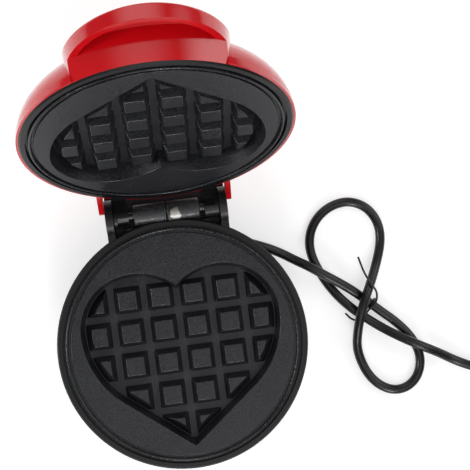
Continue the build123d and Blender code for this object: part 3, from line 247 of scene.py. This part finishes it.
def buildGrainGroup(spec):
    # two sizes of noise: a colour that varies round its middle, a roughness and a height
    group, start, end = newTree(
        "surfaceGrain", "ShaderNodeTree",
        {
            "Dark": "Color", "Light": "Color",
            "Fine Scale": "Float", "Broad Scale": "Float", "Fine Share": "Float",
            "Smoothest": "Float", "Roughest": "Float",
        },
        {"Colour": "Color", "Roughness": "Float", "Height": "Float"},
    )
    where = group.nodes.new("ShaderNodeTexCoord")
    fine, broad = (
        addNode(group, "ShaderNodeTexNoise", {
            "Vector": where.outputs["Object"], "Scale": start[scale], "Detail": spec[detail],
        })
        for scale, detail in (("Fine Scale", "fineDetail"), ("Broad Scale", "broadDetail"))
    )
    blend = mixed(group, "FLOAT", start["Fine Share"], broad.outputs["Fac"], fine.outputs["Fac"])
    lowest, highest = spec["spread"]
    spread = addNode(group, "ShaderNodeMapRange", {
        "Value": blend, "From Min": lowest, "From Max": highest,
    }).outputs["Result"]
    rough = addNode(group, "ShaderNodeMapRange", {
        "Value": spread, "To Min": start["Smoothest"], "To Max": start["Roughest"],
    })
    put(group, mixed(group, "RGBA", spread, start["Dark"], start["Light"]), end["Colour"])
    put(group, rough.outputs["Result"], end["Roughness"])
    put(group, fine.outputs["Fac"], end["Height"])
    return group


def buildWearGroup(spec):
    # a patch round a point, with a border that noise breaks up: 1 where the finish is rubbed off
    group, start, end = newTree(
        "rubbedPatch", "ShaderNodeTree",
        {"Centre": "Vector", "Reach": "Vector", "Break Up": "Float", "Ragged": "Float"},
        {"Mask": "Float"},
    )
    where = group.nodes.new("ShaderNodeTexCoord").outputs["Object"]
    away = addNode(group, "ShaderNodeVectorMath", {
        0: where, 1: start["Centre"],
    }, operation="SUBTRACT")
    scaled = addNode(group, "ShaderNodeVectorMath", {
        0: away.outputs["Vector"], 1: start["Reach"],
    }, operation="DIVIDE")
    far = addNode(group, "ShaderNodeVectorMath", {0: scaled.outputs["Vector"]}, operation="LENGTH")
    noise = addNode(group, "ShaderNodeTexNoise", {
        "Vector": where, "Scale": start["Break Up"], "Detail": spec["wearDetail"],
    })
    ragged = addNode(group, "ShaderNodeMath", {
        0: noise.outputs["Fac"], 1: start["Ragged"], 2: far.outputs["Value"],
    }, operation="MULTIPLY_ADD")
    covered, bareWithin = spec["wearBorder"]
    mask = addNode(group, "ShaderNodeMapRange", {
        "Value": ragged.outputs["Value"], "From Min": covered, "From Max": bareWithin,
    })
    put(group, mask.outputs["Result"], end["Mask"])
    return group


grainGroup = buildGrainGroup(surfaces)
wearGroup = buildWearGroup(surfaces)


def grained(name, dark, light, grain, gloss, bump, metallic=0.0, coat=0.0, level=0.5):
    # grain: fine scale, broad scale, share of the fine one; gloss: smoothest and roughest
    material, shader = newMaterial(name, {
        "Metallic": metallic,
        "Specular IOR Level": level,
        "Coat Weight": coat,
        "Coat Roughness": surfaces["coatRoughness"],
    })
    tree = material.node_tree
    fineScale, broadScale, fineShare = grain
    smoothest, roughest = gloss
    surface = addNode(tree, "ShaderNodeGroup", {
        "Dark": (*dark, 1), "Light": (*light, 1),
        "Fine Scale": fineScale, "Broad Scale": broadScale, "Fine Share": fineShare,
        "Smoothest": smoothest, "Roughest": roughest,
    }, name="grain", node_tree=grainGroup)
    relief = addNode(tree, "ShaderNodeBump", {
        "Strength": bump, "Distance": surfaces["reliefDepth"], "Height": surface.outputs["Height"],
    })
    put(tree, surface.outputs["Colour"], shader.inputs["Base Color"])
    put(tree, surface.outputs["Roughness"], shader.inputs["Roughness"])
    put(tree, relief.outputs["Normal"], shader.inputs["Normal"])
    return material


def rubThrough(material, patch):
    # bare metal shows where the patch's finish is rubbed off
    tree = material.node_tree
    shader = tree.nodes["Principled BSDF"]
    surface = tree.nodes["grain"].outputs
    labels = ("Centre", "Reach", "Break Up", "Ragged")
    worn = addNode(tree, "ShaderNodeGroup", {
        label: patch[label] for label in labels
    }, node_tree=wearGroup).outputs["Mask"]
    colour = mixed(tree, "RGBA", worn, surface["Colour"], (*patch["metal"], 1))
    rough = mixed(tree, "FLOAT", worn, surface["Roughness"], patch["roughness"])
    put(tree, colour, shader.inputs["Base Color"])
    put(tree, rough, shader.inputs["Roughness"])
    put(tree, worn, shader.inputs["Metallic"])


def polishEdges(material, roughness):
    # the piece's own attribute says where its edges are rubbed smooth
    tree = material.node_tree
    where = addNode(tree, "ShaderNodeAttribute", {}, attribute_name="polish")
    surface = tree.nodes["grain"].outputs
    rough = mixed(tree, "FLOAT", where.outputs["Fac"], surface["Roughness"], roughness)
    put(tree, rough, tree.nodes["Principled BSDF"].inputs["Roughness"])


moulded = {"grain": (1400, 45, 0.5), "bump": 0.1, "level": 0.35}
cast = {"grain": (1250, 60, 0.85), "bump": 0.8, "level": 0.42}
bare = {"grain": (1500, 90, 0.4), "bump": 0.1, "metallic": 1.0}
pale = {"grain": (1300, 70, 0.4), "bump": 0.12, "level": 0.4}
finishes = {  # for each slot: a name, the dark and the light of its colour, and its recipe
    "base_plastic": grained(
        "blackMouldedPlastic", (0.004, 0.004, 0.005), (0.008, 0.008, 0.009),
        gloss=(0.32, 0.46), **moulded,
    ),
    "frame_plastic": grained(
        "blackFramePlastic", (0.004, 0.004, 0.005), (0.009, 0.009, 0.010),
        gloss=(0.30, 0.44), **moulded,
    ),
    "lid_gloss": grained(
        "redGloss", (0.57, 0.003, 0.007), (0.63, 0.005, 0.010),
        grain=(900, 22, 0.2), gloss=(0.14, 0.2), bump=0.02, coat=1.0, level=0.2,
    ),
    "plate_coating": grained(
        "nonStickCoating", (0.002, 0.002, 0.003), (0.026, 0.027, 0.033),
        gloss=(0.3, 0.52), **cast,
    ),
    "heater_steel": grained(
        "heatTintedSteel", (0.20, 0.15, 0.11), (0.36, 0.33, 0.32),
        gloss=(0.28, 0.45), **bare,
    ),
    "terminal_steel": grained(
        "platedSteel", (0.52, 0.51, 0.48), (0.66, 0.65, 0.62),
        gloss=(0.24, 0.38), **bare,
    ),
    "shield_sheet": grained(
        "aluminiumSheet", (0.58, 0.58, 0.59), (0.74, 0.74, 0.75),
        gloss=(0.3, 0.46), **bare,
    ),
    "screw_steel": grained(
        "zincedSteel", (0.42, 0.42, 0.44), (0.6, 0.6, 0.62),
        gloss=(0.28, 0.42), **bare,
    ),
    "rubber": grained(
        "footRubber", (0.012, 0.012, 0.012), (0.024, 0.024, 0.024),
        grain=(1500, 80, 0.5), gloss=(0.62, 0.8), bump=0.2, level=0.3,
    ),
    "stat_ceramic": grained(
        "paleCeramic", (0.58, 0.54, 0.46), (0.7, 0.66, 0.58),
        gloss=(0.4, 0.6), **pale,
    ),
    "fuse_case": grained(
        "fuseCase", (0.48, 0.42, 0.3), (0.62, 0.56, 0.44),
        gloss=(0.28, 0.4), **bare,
    ),
    "block_plastic": grained(
        "paleBlockPlastic", (0.62, 0.61, 0.56), (0.72, 0.71, 0.67),
        gloss=(0.4, 0.55), **pale,
    ),
    "clamp_plastic": grained(
        "clampPlastic", (0.012, 0.012, 0.012), (0.022, 0.022, 0.022),
        gloss=(0.4, 0.55), **moulded,
    ),
    "lead_sleeve": grained(
        "glassFibreSleeve", (0.55, 0.52, 0.47), (0.72, 0.7, 0.66),
        grain=(2600, 200, 0.8), gloss=(0.7, 0.9), bump=0.4,
    ),
    "cord_jacket": grained(
        "cordJacket", (0.005, 0.005, 0.005), (0.010, 0.010, 0.011),
        grain=(1500, 60, 0.4), gloss=(0.24, 0.34), bump=0.06, level=0.4,
    ),
    "barrel_paint": grained(
        "barrelPaint", (0.008, 0.008, 0.009), (0.040, 0.040, 0.044),
        grain=(900, 90, 0.7), gloss=(0.3, 0.5), bump=0.5,
    ),
    "pin_steel": grained(
        "pinSteel", (0.05, 0.05, 0.054), (0.10, 0.10, 0.105),
        gloss=(0.34, 0.5), **bare,
    ),
    "tie_plastic": grained(
        "tiePlastic", (0.006, 0.006, 0.006), (0.012, 0.012, 0.012),
        grain=(1500, 100, 0.4), gloss=(0.3, 0.42), bump=0.08,
    ),
    "plug_plastic": grained(
        "plugPlastic", (0.006, 0.006, 0.006), (0.014, 0.014, 0.014),
        gloss=(0.36, 0.5), **moulded,
    ),
    "blade_metal": grained(
        "platedBrass", (0.68, 0.64, 0.54), (0.8, 0.76, 0.68),
        gloss=(0.2, 0.34), **bare,
    ),
    "lens_plastic": grained(
        "lensPlastic", (0.5, 0.02, 0.01), (0.62, 0.04, 0.015),
        grain=(900, 60, 0.3), gloss=(0.1, 0.16), bump=0.02, coat=0.6,
    ),
    "holder_plastic": grained(
        "holderSleeve", (0.6, 0.58, 0.53), (0.72, 0.7, 0.66),
        gloss=(0.45, 0.6), **pale,
    ),
    "lamp_glass": grained(
        "lampGlass", (0.75, 0.42, 0.25), (0.85, 0.55, 0.36),
        grain=(900, 60, 0.3), gloss=(0.08, 0.14), bump=0.02, coat=0.4,
    ),
}
barrelLow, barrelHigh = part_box("hinge_barrel_right")
barrelWear = {
    "Centre": (  # from the barrel's left end, its middle and its top
        barrelLow.x + 0.0042,
        (barrelLow.y + barrelHigh.y) / 2 - 0.0016,
        barrelHigh.z - 0.001,
    ),
    "Reach": (0.0030, 0.0056, 0.0060),
    "Break Up": 420.0,
    "Ragged": 1.7,
    "metal": (0.34, 0.33, 0.31),
    "roughness": 0.42,
}


def giveFinish(piece, node):
    # gives a piece the material of a node's slot
    piece.data.materials.clear()
    piece.data.materials.append(finishes[slotOf[node]])


rubThrough(finishes["barrel_paint"], barrelWear)
polishEdges(finishes["plate_coating"], polish["roughness"])
for node, part in nodes.items():
    giveFinish(part, node)
print("materials ready,", len(finishes))


def settle(piece):
    # replaces a piece's mesh by what its modifiers make of it, and takes the modifiers off
    shape = piece.evaluated_get(bpy.context.evaluated_depsgraph_get())
    mesh = bpy.data.meshes.new_from_object(shape)
    piece.modifiers.clear()
    piece.data = mesh


def smoothByAngle(piece, angle):
    mesh = piece.data
    work = bmesh.new()
    work.from_mesh(mesh)
    for face in work.faces:
        face.smooth = True
    for edge in work.edges:
        edge.smooth = len(edge.link_faces) == 2 and edge.calc_face_angle(pi) < radians(angle)
    work.to_mesh(mesh)
    work.free()


def attach(piece, *replaced):
    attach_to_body(piece, bodyOf[replaced[0]])
    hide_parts(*replaced)


# Softened copies of the moulded and cast pieces: merged, flat faces joined, edges rounded

mergeWithin = 1e-6
softened = {
    "flatWithin": 0.04,  # faces that differ by less are joined
    "smoothBelow": 30,  # an edge that bends more stays crisp
    "flatness": 100,  # how much a large face counts in the shading of its corners
    "nodes": {  # width of the rounded edge, its steps, least angle of an edge that gets it
        "lower_plate": (0.0003, 3, 32),
        "upper_plate": (0.0003, 3, 32),
        "base_housing": (0.0003, 2, 30),
        "lid_frame": (0.0003, 2, 30),
        "lid_shell": (0.0005, 3, 30),
        "hinge_barrel_left": (0.0002, 2, 30),
        "hinge_barrel_right": (0.0002, 2, 30),
        "strain_relief": (0.0003, 2, 30),
        "plug_body": (0.0006, 3, 30),
    },
}


def markOuterEdges(work, angle):
    # 1 on the edges that stand out by more than the angle, and 0 on the rest
    weight = work.edges.layers.float.new("bevel_weight_edge")
    for edge in work.edges:
        outer = len(edge.link_faces) == 2 and edge.is_convex
        edge[weight] = 1.0 if outer and edge.calc_face_angle() > radians(angle) else 0.0


def markPolish(piece, spec):
    # 1 on the narrow faces of the rounded edges, for the coating's roughness
    least, most = (radians(bend) for bend in spec["bend"])
    piece.data.attributes.new("polish", "FLOAT", "FACE")
    work = bmesh.new()
    work.from_mesh(piece.data)
    layer = work.faces.layers.float["polish"]
    for face in work.faces:
        longest = max(edge.calc_length() for edge in face.edges)
        outer = [edge for edge in face.edges if len(edge.link_faces) == 2 and edge.is_convex]
        turned = any(least < edge.calc_face_angle(0) < most for edge in outer)
        face[layer] = 1.0 if turned and face.calc_area() / longest < spec["widest"] else 0.0
    work.to_mesh(piece.data)
    work.free()


def softenCopy(node, width, steps, angle, spec):
    rubbed = node in polish["nodes"]  # only its outer edges are rounded
    mesh = nodes[node].data.copy()
    work = bmesh.new()
    work.from_mesh(mesh)
    bmesh.ops.remove_doubles(work, verts=work.verts, dist=mergeWithin)
    flat = radians(spec["flatWithin"])
    bmesh.ops.dissolve_limit(work, angle_limit=flat, verts=work.verts, edges=work.edges)
    if rubbed:
        markOuterEdges(work, angle)
    work.to_mesh(mesh)
    work.free()
    piece = addObject(node + "Soft", mesh)
    rounded = piece.modifiers.new("roundEdges", "BEVEL")
    rounded.width = width
    rounded.segments = steps
    rounded.limit_method = "WEIGHT" if rubbed else "ANGLE"
    rounded.angle_limit = radians(angle)
    rounded.use_clamp_overlap = not rubbed
    settle(piece)
    giveFinish(piece, node)
    smoothByAngle(piece, spec["smoothBelow"])
    if rubbed:
        markPolish(piece, polish)
    even = piece.modifiers.new("flatFacesStayFlat", "WEIGHTED_NORMAL")
    even.mode = "FACE_AREA"
    even.weight = spec["flatness"]
    even.keep_sharp = True
    settle(piece)
    attach(piece, node)


for node, (width, steps, angle) in softened["nodes"].items():
    softenCopy(node, width, steps, angle, softened)
print("softened copies,", len(softened["nodes"]))

# Screws with a cross recess, set by Geometry Nodes where the CAD has its screws

baseUp = Vector((0, 0, 1))
lidOpen = radians(115)
lidUp = Vector((0, sin(lidOpen), cos(lidOpen)))
screws = {
    "sizes": {
        "Head Radius": 0.0029,
        "Head Height": 0.0018,
        "Head Dome": 1.25,  # radius of the dome over that of the head
        "Shank Radius": 0.0015,
        "Slot Length": 0.0032,
        "Slot Width": 0.0008,
        "Slot Depth": 0.0011,
    },
    "headSides": 32,
    "domeRings": 16,
    "shankSides": 24,
    "overlap": 0.0004,  # of the shank with its head
    "clearOfShank": 1.3,  # a point further out, in shank radii, belongs to the head
    "smoothBelow": 35,
    "seed": 4,
    "axes": {
        "bottom_screws": baseUp,
        "lower_plate_screws": baseUp,
        "thermostat_screws": baseUp,
        "terminal_screws": baseUp,
        "clamp_screws": baseUp,
        "upper_plate_screws": lidUp,
        "lid_screws": lidUp,
    },
}


def buildScrewTree(spec):
    tree, start, end = newTree(
        "crossHeadScrews", "GeometryNodeTree",
        {
            "Geometry": "Geometry", **dict.fromkeys(spec["sizes"], "Float"),
            "Shank Length": "Float", "Outward": "Vector", "Seed": "Int", "Paint": "Material",
        },
        {"Geometry": "Geometry"},
    )

    def timesPlus(value, times, plus=0.0):
        terms = {0: value, 1: times, 2: plus}
        return addNode(tree, "ShaderNodeMath", terms, operation="MULTIPLY_ADD").outputs[0]

    def vector(x, y, z):
        return addNode(tree, "ShaderNodeCombineXYZ", {0: x, 1: y, 2: z}).outputs[0]

    def moved(solid, place, scale=(1, 1, 1)):
        return addNode(tree, "GeometryNodeTransform", {
            "Geometry": solid.outputs["Mesh"], "Translation": place, "Scale": scale,
        }).outputs["Geometry"]

    def combined(operation, first, *others):
        node = addNode(tree, "GeometryNodeMeshBoolean", {}, operation=operation, solver="EXACT")
        put(tree, first, node.inputs["Mesh 1" if operation == "DIFFERENCE" else "Mesh 2"])
        for mesh in others:
            put(tree, mesh, node.inputs["Mesh 2"])
        return node.outputs["Mesh"]

    headRadius, headHeight = start["Head Radius"], start["Head Height"]
    drum = addNode(tree, "GeometryNodeMeshCylinder", {
        "Vertices": spec["headSides"], "Radius": headRadius, "Depth": headHeight,
    })
    drum = moved(drum, vector(0, 0, timesPlus(headHeight, 0.5)))
    ball = addNode(tree, "GeometryNodeMeshUVSphere", {
        "Segments": spec["headSides"], "Rings": spec["domeRings"], "Radius": 1.0,
    })
    domeRadius = timesPlus(headRadius, start["Head Dome"])
    ball = moved(ball, (0, 0, 0), vector(domeRadius, domeRadius, headHeight))
    head = combined("INTERSECT", drum, ball)
    shankLength, overlap = start["Shank Length"], spec["overlap"]
    shank = addNode(tree, "GeometryNodeMeshCylinder", {
        "Vertices": spec["shankSides"], "Radius": start["Shank Radius"],
        "Depth": timesPlus(shankLength, 1.0, overlap),
    })
    shank = moved(shank, vector(0, 0, timesPlus(shankLength, -0.5, overlap / 2)))
    slotLength, slotWidth = start["Slot Length"], start["Slot Width"]
    twiceDeep = timesPlus(start["Slot Depth"], 2.0)
    slots = [
        moved(
            addNode(tree, "GeometryNodeMeshCube", {"Size": vector(long, wide, twiceDeep)}),
            vector(0, 0, headHeight),
        )
        for long, wide in ((slotLength, slotWidth), (slotWidth, slotLength))
    ]
    screw = combined("DIFFERENCE", combined("UNION", head, shank), *slots)
    facing = addNode(tree, "FunctionNodeAlignRotationToVector", {
        "Vector": start["Outward"],
    }, axis="Z")
    spread = addNode(tree, "GeometryNodeInstanceOnPoints", {
        "Points": start["Geometry"], "Instance": screw, "Rotation": facing.outputs["Rotation"],
    })
    chance = addNode(tree, "FunctionNodeRandomValue", {"Seed": start["Seed"]}, data_type="FLOAT")
    turned = addNode(tree, "GeometryNodeRotateInstances", {
        "Instances": spread.outputs["Instances"],
        "Rotation": vector(0, 0, timesPlus(chance.outputs[1], pi / 2)),
    })
    real = addNode(tree, "GeometryNodeRealizeInstances", {"Geometry": turned.outputs["Instances"]})
    paint = addNode(tree, "GeometryNodeSetMaterial", {
        "Geometry": real.outputs["Geometry"], "Material": start["Paint"],
    })
    put(tree, paint.outputs["Geometry"], end["Geometry"])
    return tree


def islandsOf(node):
    # the corner points of each separate solid of a CAD node
    work = bmesh.new()
    work.from_mesh(nodes[node].data)
    bmesh.ops.remove_doubles(work, verts=work.verts, dist=mergeWithin)
    left = set(work.verts)
    islands = []
    while left:
        front, island = [left.pop()], []
        while front:
            vert = front.pop()
            island.append(vert.co.copy())
            for edge in vert.link_edges:
                other = edge.other_vert(vert)
                if other in left:
                    left.discard(other)
                    front.append(other)
        islands.append(island)
    work.free()
    return sorted(islands, key=lambda island: min(tuple(co) for co in island))


def screwSeats(node, axis, spec):
    # the point under each head, the way out of it, and the shank's length
    side = axis.orthogonal().normalized()
    across = axis.cross(side)
    headHeight = spec["sizes"]["Head Height"]
    reach = spec["sizes"]["Shank Radius"] * spec["clearOfShank"]
    seats = []
    for island in islandsOf(node):
        (west, east), (south, north), (lowest, highest) = (
            (min(co.dot(way) for co in island), max(co.dot(way) for co in island))
            for way in (side, across, axis)
        )
        middle = side * (west + east) / 2 + across * (south + north) / 2
        heights = [
            co.dot(axis) for co in island
            if (co - axis * co.dot(axis) - middle).length > reach
        ]
        headUp = sum(heights) / len(heights) > (lowest + highest) / 2
        outward = axis if headUp else -axis
        seats.append(middle + axis * (highest - headHeight if headUp else lowest + headHeight))
        length = highest - lowest - headHeight
    return seats, outward, length


def driveScrews(node, axis, tree, spec):
    seats, outward, length = screwSeats(node, axis, spec)
    mesh = bpy.data.meshes.new(node + "Seats")
    mesh.from_pydata([tuple(seat) for seat in seats], [], [])
    piece = addObject(node + "Cross", mesh)
    made = piece.modifiers.new("screws", "NODES")
    made.node_group = tree
    values = {
        **spec["sizes"], "Shank Length": length, "Outward": tuple(outward),
        "Seed": spec["seed"], "Paint": finishes[slotOf[node]],
    }
    for item in tree.interface.items_tree:
        if item.in_out == "INPUT" and item.name in values:
            made[item.identifier] = values[item.name]
    settle(piece)
    smoothByAngle(piece, spec["smoothBelow"])
    attach(piece, node)
    return len(seats)


screwTree = buildScrewTree(screws)
driven = [driveScrews(node, axis, screwTree, screws) for node, axis in screws["axes"].items()]
print("screws set,", sum(driven))

# Power cord: one smooth line from the strain relief over the two loops and the coil to the plug

cord = {
    "radius": 0.0025,
    "exit": (0.040781, 0.045874, 0.0094),
    "straight": (0.047316, 0.043366, 0.0094),
    "loops": (  # from the plates' middle, and height above the table
        (0.0564, 0.0389, 0.0074), (0.0644, 0.0335, 0.0074), (0.0713, 0.0292, 0.0090),
        (0.0783, 0.0241, 0.0090), (0.0863, 0.0186, 0.0072), (0.0938, 0.0129, 0.0048),
        (0.1005, 0.0067, 0.0041), (0.1071, 0.0004, 0.0036), (0.1147, -0.0064, 0.0026),
        (0.1214, -0.0146, 0.0025), (0.1252, -0.0233, 0.0025), (0.1252, -0.0309, 0.0025),
        (0.1223, -0.0375, 0.0025), (0.1168, -0.0420, 0.0025), (0.1096, -0.0430, 0.0025),
        (0.1023, -0.0397, 0.0025), (0.0966, -0.0332, 0.0025), (0.0933, -0.0249, 0.0025),
        (0.0919, -0.0168, 0.0036), (0.0929, -0.0086, 0.0072), (0.0948, 0.0002, 0.0110),
        (0.0989, 0.0096, 0.0110), (0.1039, 0.0180, 0.0066), (0.1079, 0.0259, 0.0031),
        (0.1112, 0.0346, 0.0025), (0.1124, 0.0429, 0.0025), (0.1105, 0.0509, 0.0025),
        (0.1054, 0.0575, 0.0025), (0.0971, 0.0611, 0.0025), (0.0883, 0.0599, 0.0025),
        (0.0807, 0.0555, 0.0025), (0.0755, 0.0487, 0.0025), (0.0734, 0.0408, 0.0025),
        (0.0743, 0.0327, 0.0025), (0.0780, 0.0233, 0.0025), (0.0833, 0.0139, 0.0027),
        (0.0903, 0.0052, 0.0038), (0.0984, -0.0020, 0.0041), (0.1062, -0.0082, 0.0048),
        (0.1130, -0.0129, 0.0069), (0.1199, -0.0171, 0.0090), (0.1279, -0.0216, 0.0090),
        (0.1356, -0.0259, 0.0058), (0.1433, -0.0309, 0.0029), (0.1525, -0.0356, 0.0040),
        (0.1625, -0.0383, 0.0070), (0.1728, -0.03875, 0.0085), (0.1845, -0.03875, 0.0085),
    ),
    "coilMiddle": (0.1895, -0.0655),
    "coilRadius": 0.02675,
    "coilPitch": 0.0065,
    "coilTop": 0.0085,
    "pointsPerHalfTurn": 8,
    "tail": (  # from the coil's middle to the plug
        (0.0316, -0.0110, 0.0025), (0.0342, -0.0196, 0.0050),
        (0.0384, -0.0278, 0.0075), (0.0428, -0.0368, 0.0075),
    ),
    "length": 0.86,
    "stepsPerPoint": 8,
    "roundness": 6,
}


def coilPoints(spec):
    # half turns that spiral in on top and out again below, each about its own middle
    step = spec["coilPitch"] / 2
    outer = spec["coilRadius"]
    top, lay = spec["coilTop"], spec["radius"]
    ends = (
        (outer, top), (outer - step, top), (outer - step, lay), (outer, lay), (outer + step, lay),
    )
    count = spec["pointsPerHalfTurn"]
    points = []
    for turn, ((near, nearZ), (far, farZ)) in enumerate(zip(ends, ends[1:])):
        side = 1 if turn % 2 == 0 else -1
        middleY = side * (near - far) / 2
        radius = (near + far) / 2 / cos(pi / count / 2)
        for i in range(count):
            angle = pi * (i + 0.5) / count
            x = side * radius * sin(angle)
            y = middleY + side * radius * cos(angle)
            points.append((x, y, nearZ + (farZ - nearZ) * (i + 0.5) / count))
    last = outer + step
    radius = last + spec["coilPitch"] / 4
    for i in range(count // 2):
        angle = pi * (i + 0.5) / count
        points.append((radius * sin(angle), last - radius + radius * cos(angle), lay))
    return points


def buildCord(spec):
    low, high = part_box("lower_plate")
    centre = Vector(((low.x + high.x) / 2, (low.y + high.y) / 2, 0))
    coilCentre = centre + Vector((*spec["coilMiddle"], 0))
    points = [centre + Vector(point) for point in (spec["exit"], spec["straight"], *spec["loops"])]
    points += [coilCentre + Vector(point) for point in (*coilPoints(spec), *spec["tail"])]
    data = bpy.data.curves.new("powerCordLine", "CURVE")
    data.dimensions = "3D"
    data.resolution_u = spec["stepsPerPoint"]
    data.bevel_depth = spec["radius"]
    data.bevel_resolution = spec["roundness"]
    data.use_fill_caps = True
    line = data.splines.new("NURBS")
    line.points.add(len(points) - 1)
    for spot, point in zip(line.points, points):
        spot.co = (*point, 1)
    line.order_u = 3
    line.use_endpoint_u = True
    cordPiece = addObject("powerCord", data)
    data.materials.append(finishes["cord_jacket"])
    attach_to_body(cordPiece, "base")
    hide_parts("power_cord", "cord_coil")


buildCord(cord)
print("power cord laid")
